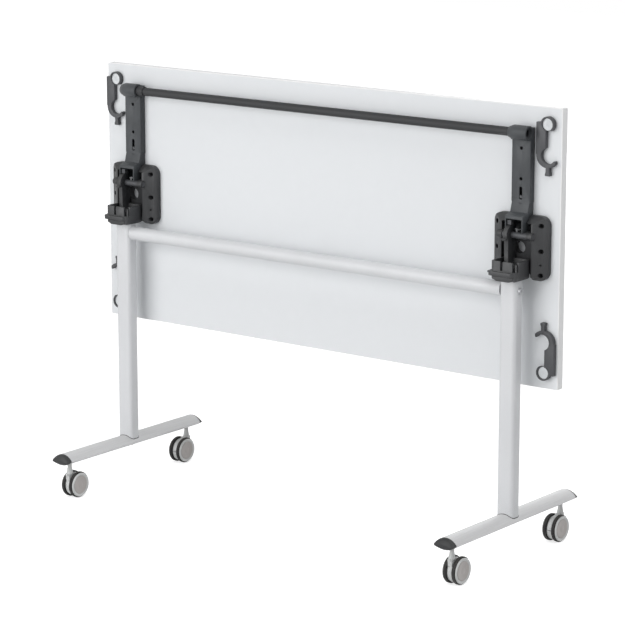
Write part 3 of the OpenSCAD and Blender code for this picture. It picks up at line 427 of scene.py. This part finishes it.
# %% [markdown]
# The mouldings and castings. The brackets and heads are black die castings with a fine textured
# paint, the arms are a slightly bluer charcoal, and the linking hooks are moulded nylon. Foot caps,
# pale bosses, casters and wheel covers take the same recipe, and the tyres do with larger grains
# and hardly any gloss.

# %% Materials: black and charcoal parts
BLACK = moulded("black_casting", screen(36, 37, 39), screen(47, 48, 50), rough=0.52,
                rough_rubbed=0.38, grain=1100.0, depth=0.00006, dusty=0.07)
CHARCOAL = moulded("charcoal_casting", screen(56, 59, 62), screen(65, 68, 71), rough=0.52,
                   rough_rubbed=0.4, grain=1000.0, depth=0.00005, dusty=0.05, specular=0.4)
HOOK = moulded("hook_nylon", screen(61, 62, 65), screen(69, 70, 73), rough=0.52,
               rough_rubbed=0.4, grain=900.0, depth=0.00005, dusty=0.06)
CAP = moulded("cap_nylon", screen(34, 35, 36), screen(44, 45, 46), rough=0.5,
              rough_rubbed=0.4, grain=800.0, depth=0.00005, dusty=0.03, specular=0.35)
PALE = moulded("pale_moulding", screen(222, 225, 227), screen(214, 217, 219), rough=0.4,
               rough_rubbed=0.32, grain=900.0, depth=0.00003)
CASTER = moulded("caster_nylon", screen(206, 207, 206), screen(196, 197, 196), rough=0.42,
                 rough_rubbed=0.32, grain=900.0, depth=0.00004, dusty=0.2)
DISC = moulded("cover_nylon", screen(179, 173, 170), screen(171, 166, 163), rough=0.4,
               rough_rubbed=0.3, grain=1200.0, depth=0.00003, dusty=0.15)
TYRE = moulded("tyre_rubber", screen(34, 33, 33), screen(46, 45, 44), rough=0.72,
               rough_rubbed=0.58, grain=700.0, depth=0.00008, dusty=0.16, specular=0.3)
print("mouldings:", len((BLACK, CHARCOAL, HOOK, CAP, PALE, CASTER, DISC, TYRE)))

# %% [markdown]
# Silver paint on the columns and the crossbar, and the feet's aluminium. The paint holds metal
# flakes, so it is a little metallic. The feet show the lines of the die along their length.

# %% Materials: silver paint, foot section and steel
DUST_ON_METAL = screen(190, 187, 181)
COAT_SHADE = 0.94
LINE_SQUEEZE = 0.012


def painted(name, colour, fleck_colour, metallic, rough, peel=420.0, depth=0.00003, dusty=0.0):
    """Powder coat with a faint peel and metal flecks."""
    material, tree, shader = new_material(name)
    group = place_group(tree, coat, Peel=peel)
    shaded = tuple(c * COAT_SHADE for c in colour[:3]) + (1.0,)
    tone = blend_colour(tree, group.outputs["Tone"], colour, shaded)
    tone = blend_colour(tree, group.outputs["Fleck"], tone, fleck_colour)
    if dusty:
        lay = place_group(tree, dust, Amount=dusty)
        tone = blend_colour(tree, lay.outputs["Mask"], tone, DUST_ON_METAL)
    tree.links.new(tone, shader.inputs["Base Color"])
    gloss = sharpen(tree, group.outputs["Tone"], 0.0, 1.0, rough, rough + 0.08)
    tree.links.new(gloss, shader.inputs["Roughness"])
    shader.inputs["Metallic"].default_value = metallic
    raise_surface(tree, shader, group.outputs["Height"], depth, 0.5)
    return material


def lined(name, colour, line_colour, along, metallic, rough, scale=900.0, depth=0.00003, dusty=0.0):
    """Metal with drawn lines along one axis."""
    material, tree, shader = new_material(name)
    squeeze_axes = {"Along_X": 1.0, "Along_Y": 1.0, "Along_Z": 1.0}
    squeeze_axes["Along_" + along] = LINE_SQUEEZE
    group = place_group(tree, drawn, Scale=scale, **squeeze_axes)
    tone = blend_colour(tree, group.outputs["Line"], colour, line_colour)
    if dusty:
        lay = place_group(tree, dust, Amount=dusty)
        tone = blend_colour(tree, lay.outputs["Mask"], tone, DUST_ON_METAL)
    tree.links.new(tone, shader.inputs["Base Color"])
    gloss = sharpen(tree, group.outputs["Line"], 0.0, 1.0, rough, rough + 0.1)
    tree.links.new(gloss, shader.inputs["Roughness"])
    shader.inputs["Metallic"].default_value = metallic
    raise_surface(tree, shader, group.outputs["Height"], depth, 0.4)
    return material


SILVER = painted("silver_coat", screen(208, 209, 211), screen(222, 223, 225), metallic=0.08,
                 rough=0.46)
FOOT = lined("foot_section", screen(205, 205, 206), screen(216, 216, 217), "Y", metallic=0.1,
             rough=0.44, dusty=0.15)
BAR = painted("black_paint", screen(18, 19, 22), screen(33, 35, 38), metallic=0.0, rough=0.54,
              peel=500.0)
ZINC = lined("zinc_steel", screen(176, 177, 179), screen(196, 197, 199), "X", metallic=0.9,
             rough=0.32)
DARK_STEEL = lined("blackened_steel", screen(62, 63, 66), screen(84, 85, 88), "Z",
                   metallic=0.3, rough=0.5)
PLATED = lined("pin_steel", screen(190, 191, 193), screen(206, 207, 209), "X", metallic=0.85,
               rough=0.26)
print("metals:", len((SILVER, FOOT, BAR, ZINC, DARK_STEEL, PLATED)))

# %% [markdown]
# Each solid now takes its finish. The list goes from a finish to the ends of names that carry
# it, so both sides and all four corners of the table are always dressed alike.

# %% Finishes for the solids
FINISHES = [
    (BOARD, ("table_top",)),
    (BAND, ("edge_band",)),
    (BLACK, ("column_head", "tilt_bracket")),
    (CHARCOAL, ("_arm",)),
    (HOOK, ("_link",)),
    (CAP, ("foot_caps",)),
    (PALE, ("link_bosses", "link_screws")),
    (CASTER, ("_fork", "_pedal")),
    (DISC, ("_wheels",)),
    (TYRE, ("_tyres",)),
    (SILVER, ("_column", "crossbar")),
    (FOOT, ("_foot",)),
    (BAR, ("release_bar",)),
    (DARK_STEEL, ("release_cranks", "_latch", "_latch_spring", "bracket_screws", "arm_screws",
                  "pivot_pins", "pivot_sleeves")),
    (PLATED, ("_axle",)),
    (ZINC, ("crossbar_plugs", "crossbar_bolts", "column_base_plugs", "base_bolts", "head_screws",
            "caster_stems")),
]


def finish_for(name):
    """The finish whose name ending fits a solid."""
    for finish, endings in FINISHES:
        if name.endswith(endings):
            return finish
    return None


for name, solid in frame["nodes"].items():
    finish = finish_for(name)
    if finish is None:
        print("no finish for", name)
        continue
    solid.data.materials.clear()
    solid.data.materials.append(finish)
print("finished solids:", len(frame["nodes"]))

# %% [markdown]
# Rounded edges. The solids of the castings and mouldings have sharp edges, while real ones come
# out of their tools with small radii that catch the light. Each is copied, its loose triangles
# are merged, flat neighbours are dissolved into whole faces, and a bevel modifier rounds each edge
# that turns by more than an angle. Hollow outlines are then split, so that any program that reads
# the mesh fills them alike. The solid stays for the physics, and its copy stands for it.

# %% Helpers: a copy with rounded edges
MERGE = 0.00001
NO_LENGTH = 0.000002
FLAT_WITHIN = 0.5
SMOOTH_WITHIN = 35.0


def pick_faces(piece, test):
    """Enters edit mode with only those faces selected that pass the test."""
    select_only(piece)
    bpy.ops.object.mode_set(mode="EDIT")
    bpy.ops.mesh.select_mode(type="FACE")
    bpy.ops.mesh.select_all(action="DESELECT")
    bpy.ops.object.mode_set(mode="OBJECT")
    for face in piece.data.polygons:
        face.select = test(face)
    bpy.ops.object.mode_set(mode="EDIT")


def drop_inner_sheet(piece, margin=0.0001):
    """Deletes faces inside a solid, where its parts meet. Three faces share each edge of theirs."""
    bpy.ops.mesh.select_mode(type="EDGE")
    bpy.ops.mesh.select_all(action="DESELECT")
    bpy.ops.mesh.select_non_manifold(extend=False, use_wire=False, use_boundary=False,
                                     use_multi_face=True, use_non_contiguous=False,
                                     use_verts=False)
    bpy.ops.object.mode_set(mode="OBJECT")
    rim = [vertex.co for vertex in piece.data.vertices if vertex.select]
    if rim:
        low, high = ([pick(co[axis] for co in rim) for axis in range(3)] for pick in (min, max))
        pick_faces(piece, lambda face: all(low[axis] + margin * (axis < 2) < face.center[axis]
                                           < high[axis] - margin * (axis < 2) for axis in range(3)))
        bpy.ops.mesh.delete(type="FACE")
    else:
        bpy.ops.object.mode_set(mode="EDIT")
    bpy.ops.mesh.select_mode(type="VERT")


def soften(name, radius, steps=2, turn=30.0):
    """Copies a solid and rounds its edges by a radius in metres. The copy stands for the solid."""
    solid = frame["nodes"][name]
    piece = bpy.data.objects.new(name + "_rounded", solid.data.copy())
    bpy.context.scene.collection.objects.link(piece)
    select_only(piece)
    bpy.ops.mesh.customdata_custom_splitnormals_clear()
    bpy.ops.object.mode_set(mode="EDIT")
    bpy.ops.mesh.select_mode(type="VERT")
    bpy.ops.mesh.select_all(action="SELECT")
    bpy.ops.mesh.remove_doubles(threshold=MERGE)
    drop_inner_sheet(piece)
    bpy.ops.mesh.select_all(action="SELECT")
    bpy.ops.mesh.dissolve_limited(angle_limit=math.radians(FLAT_WITHIN))
    bpy.ops.object.mode_set(mode="OBJECT")
    rounding = piece.modifiers.new("rounding", "BEVEL")
    rounding.width = radius
    rounding.segments = steps
    rounding.limit_method = "ANGLE"
    rounding.angle_limit = math.radians(turn)
    rounding.use_clamp_overlap = False
    bpy.ops.object.modifier_apply(modifier=rounding.name)
    bpy.ops.object.mode_set(mode="EDIT")
    bpy.ops.mesh.select_all(action="SELECT")
    bpy.ops.mesh.dissolve_degenerate(threshold=NO_LENGTH)
    bpy.ops.mesh.vert_connect_concave()
    bpy.ops.object.mode_set(mode="OBJECT")
    bpy.ops.object.shade_smooth_by_angle(angle=math.radians(SMOOTH_WITHIN))
    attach(piece, solid["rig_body"])
    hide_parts(name)
    return piece


# %% Piece: rounded castings and mouldings
ROUNDED = {"tilt_bracket": 0.0006, "column_head": 0.0006, "_arm": 0.0006, "_link": 0.0006,
           "_fork": 0.0004, "_pedal": 0.0002}
for name in sorted(frame["nodes"]):
    for ending, radius in ROUNDED.items():
        if name.endswith(ending):
            piece = soften(name, radius)
            print(piece.name, len(piece.data.polygons), "faces")

# %% [markdown]
# Caster wheels. Each caster has two wheels, and each wheel is a nylon rim, dished on its outer
# side towards a pressed cover. A turned shape like this could be a profile that is spun round an
# axis. Here it grows out of a cylinder instead: an end face is inset and moved step by step, so
# every ring stays one clean loop and its size can be read from the list. The last two small faces
# are bridged, which leaves the bore for the axle.

# %% Helpers: step an end face, and place a piece
def step_rings(steps):
    """Insets the selected end face ring by ring. Each step is (how far in, how far up)."""
    for inward, rise in steps:
        if inward:
            bpy.ops.mesh.inset(thickness=inward / 1000.0)
        else:
            bpy.ops.mesh.extrude_region_move()
        bpy.ops.transform.translate(value=(0.0, 0.0, rise / 1000.0))


def settle(piece, place=(0.0, 0.0, 0.0), turn=(0.0, 0.0, 0.0)):
    """Moves a finished piece to its place and puts the place into its mesh."""
    piece.location = place
    piece.rotation_euler = tuple(math.radians(angle) for angle in turn)
    select_only(piece)
    bpy.ops.object.transform_apply(location=True, rotation=True, scale=True)


def twin(piece, name):
    """A copy with its own mesh."""
    other = bpy.data.objects.new(name, piece.data.copy())
    bpy.context.scene.collection.objects.link(other)
    return other


# %% Shape: one wheel rim and one cover, upright
WHEEL_IN = 6.4
RIM_SEAT = 14.8
RIM_R = 24.95
FLANGE_R = 26.6
COVER_R = 20.3
COVER_LOW, COVER_HIGH = 15.7, 16.3
WHEEL_SMOOTH = 28.0


def upright_cylinder(name, radius, low, high, sides=96):
    """A cylinder on the z axis, in millimetres."""
    bpy.ops.object.select_all(action="DESELECT")
    bpy.ops.mesh.primitive_cylinder_add(vertices=sides, radius=radius / 1000.0,
                                        depth=(high - low) / 1000.0,
                                        location=(0.0, 0.0, (low + high) / 2000.0))
    piece = bpy.context.object
    piece.name = name
    bpy.ops.object.transform_apply(location=True, rotation=True, scale=True)
    return piece


rim = upright_cylinder("wheel_rim", RIM_R, WHEEL_IN, RIM_SEAT)
pick_faces(rim, lambda face: face.normal.z > 0.9)
bpy.ops.mesh.extrude_region_move()
bpy.ops.transform.resize(value=(FLANGE_R / RIM_R, FLANGE_R / RIM_R, 1.0))
step_rings([(0.0, 1.2), (0.5, 0.9), (0.9, 0.8), (0.8, 0.3), (0.6, -0.3), (3.1, -1.6), (0.2, -0.5),
            (17.45, 0.0)])
bpy.ops.object.mode_set(mode="OBJECT")
pick_faces(rim, lambda face: face.normal.z < -0.9 and face.center.z < (WHEEL_IN + 0.2) / 1000.0)
step_rings([(1.9, 0.0), (1.0, 2.6), (13.0, 0.0), (1.0, -2.6), (5.0, 0.0)])
bpy.ops.object.mode_set(mode="OBJECT")
pick_faces(rim, lambda face: abs(face.normal.z) > 0.9 and face.center.xy.length < 0.001)
bpy.ops.mesh.bridge_edge_loops()
bpy.ops.object.mode_set(mode="OBJECT")
bpy.ops.object.shade_smooth_by_angle(angle=math.radians(WHEEL_SMOOTH))
cover = upright_cylinder("wheel_cover", COVER_R, COVER_LOW, COVER_HIGH)
pick_faces(cover, lambda face: face.normal.z > 0.9)
step_rings([(0.5, 0.25), (1.2, 0.1), (0.8, -0.25), (9.6, 0.15), (0.8, -0.2), (1.2, 0.3),
            (3.4, 0.2)])
bpy.ops.object.mode_set(mode="OBJECT")
bpy.ops.object.shade_smooth_by_angle(angle=math.radians(WHEEL_SMOOTH))
print("rim and cover:", len(rim.data.polygons), len(cover.data.polygons), "faces")

# %% Pieces: rims and covers on every caster
CASTERS = {"front_left": (-1, -1), "front_right": (1, -1),
           "rear_left": (-1, 1), "rear_right": (1, 1)}
COLUMN_X = 0.514
AXLE_Y = 0.183
AXLE_Z = 0.029
for corner, (side_x, side_y) in CASTERS.items():
    for pattern, finish, label in ((rim, CASTER, "_rims"), (cover, DISC, "_covers")):
        pair = []
        for turn in (90.0, -90.0):
            wheel = twin(pattern, corner + label)
            settle(wheel, (side_x * COLUMN_X, side_y * AXLE_Y, AXLE_Z), (0.0, turn, 0.0))
            pair.append(wheel)
        select_only(pair[0])
        pair[1].select_set(True)
        bpy.ops.object.join()
        pair[0].name = corner + label
        pair[0].data.materials.append(finish)
        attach(pair[0], corner + "_wheel_pair")
        if label == "_rims":
            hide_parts(corner + "_wheels")
for pattern in (rim, cover):
    bpy.data.objects.remove(pattern)
print("wheels dressed:", 2 * len(CASTERS))

# %% [markdown]
# Painted shadow at the column joints. Where a column stands on the crowned foot, a thin dark strip,
# shaped like a gasket, paints the shadow in the joint. It has to follow the crown, so it is not
# drawn
# but cut: a bar, a little larger than the column and with rounded corners, is intersected with a
# copy of the foot that is lifted by the height of the strip. What sticks out is the dark lip of
# painted shadow.

# %% Pieces: dark strips that paint the shadow under the columns
# A thin dark strip round each column's foot, which paints the shadow of the joint.
SHADOW_STRIP_H = 0.0009
SHADOW_STRIP_LIP = 0.0007
CORNER_R = 0.009
BLOCK_H = 0.015
BLOCK_UNDER_TOP = 0.0045
CORNER_STEPS = 8
SHADOW_STRIP_SMOOTH = 30.0
for side in ("left", "right"):
    low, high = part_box(side + "_foot")
    column_low, column_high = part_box(side + "_column")
    centre = (column_low + column_high) / 2
    span = column_high - column_low
    bpy.ops.object.select_all(action="DESELECT")
    bpy.ops.mesh.primitive_cube_add(size=1.0,
                                    location=(centre.x, centre.y, high.z - BLOCK_UNDER_TOP))
    shadow_strip = bpy.context.object
    shadow_strip.name = side + "_column_shadow_strip"
    shadow_strip.scale = (span.x + 2 * SHADOW_STRIP_LIP, span.y + 2 * SHADOW_STRIP_LIP, BLOCK_H)
    bpy.ops.object.transform_apply(location=True, rotation=True, scale=True)
    bpy.ops.object.mode_set(mode="EDIT")
    bpy.ops.mesh.select_mode(type="EDGE")
    bpy.ops.mesh.select_all(action="DESELECT")
    bpy.ops.object.mode_set(mode="OBJECT")
    points = shadow_strip.data.vertices
    for edge in shadow_strip.data.edges:
        first, second = (points[index].co for index in edge.vertices)
        edge.select = abs(first.z - second.z) > BLOCK_H / 2
    bpy.ops.object.mode_set(mode="EDIT")
    bpy.ops.mesh.bevel(offset=CORNER_R + SHADOW_STRIP_LIP, segments=CORNER_STEPS, affect="EDGES")
    bpy.ops.object.mode_set(mode="OBJECT")
    lifted = bpy.data.objects.new("lifted_foot", frame["nodes"][side + "_foot"].data.copy())
    bpy.context.scene.collection.objects.link(lifted)
    select_only(lifted)
    bpy.ops.object.mode_set(mode="EDIT")
    bpy.ops.mesh.select_all(action="SELECT")
    bpy.ops.mesh.remove_doubles(threshold=MERGE)
    bpy.ops.transform.translate(value=(0.0, 0.0, SHADOW_STRIP_H))
    bpy.ops.object.mode_set(mode="OBJECT")
    select_only(shadow_strip)
    cut = shadow_strip.modifiers.new("crown", "BOOLEAN")
    cut.operation = "INTERSECT"
    cut.object = lifted
    bpy.ops.object.modifier_apply(modifier=cut.name)
    bpy.data.objects.remove(lifted)
    bpy.ops.object.shade_smooth_by_angle(angle=math.radians(SHADOW_STRIP_SMOOTH))
    # Painted shadow: the dark cap nylon on this strip stands for the shade in the joint, not for a
    # part of its own.
    shadow_strip.data.materials.clear()
    shadow_strip.data.materials.append(CAP)
    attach(shadow_strip, "base")
    print(shadow_strip.name, len(shadow_strip.data.polygons), "faces")

# %% [markdown]
# Latch springs. A compression spring pushes each latch down, and it shortens when the release bar
# lifts the latch. One small ring is the section of the wire. A screw modifier carries it round
# the rod and up at the same time, and the two open ends are closed by a face. The solid of the
# spring can't shorten, so this piece stands for it.

# %% Pieces: latch springs
WIRE_R = 0.0006
WIRE_SIDES = 12
TURNS = 8
STEPS_A_TURN = 24
for side in ("left", "right"):
    low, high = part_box(side + "_latch_spring")
    centre = (low + high) / 2
    coil_r = (high.x - low.x) / 2 - WIRE_R
    bpy.ops.object.select_all(action="DESELECT")
    bpy.ops.mesh.primitive_circle_add(vertices=WIRE_SIDES, radius=WIRE_R,
                                      location=(coil_r, 0.0, WIRE_R),
                                      rotation=(math.radians(90.0), 0.0, 0.0))
    coil = bpy.context.object
    coil.name = side + "_latch_coil"
    bpy.ops.object.transform_apply(location=True, rotation=True, scale=True)
    winding = coil.modifiers.new("winding", "SCREW")
    winding.axis = "Z"
    winding.angle = math.radians(360.0)
    winding.screw_offset = (high.z - low.z - 2 * WIRE_R) / TURNS
    winding.iterations = TURNS
    winding.steps = STEPS_A_TURN
    winding.render_steps = STEPS_A_TURN
    winding.use_smooth_shade = True
    bpy.ops.object.modifier_apply(modifier=winding.name)
    bpy.ops.object.mode_set(mode="EDIT")
    bpy.ops.mesh.select_mode(type="EDGE")
    bpy.ops.mesh.select_all(action="DESELECT")
    bpy.ops.mesh.select_non_manifold()
    bpy.ops.mesh.edge_face_add()
    bpy.ops.mesh.select_all(action="SELECT")
    bpy.ops.mesh.normals_make_consistent(inside=False)
    bpy.ops.object.mode_set(mode="OBJECT")
    settle(coil, (centre.x, centre.y, low.z))
    coil.data.materials.append(PLATED)
    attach(coil, "top")
    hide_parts(side + "_latch_spring")
    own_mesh(coil)
    print(coil.name, len(coil.data.polygons), "faces, turns:", TURNS)
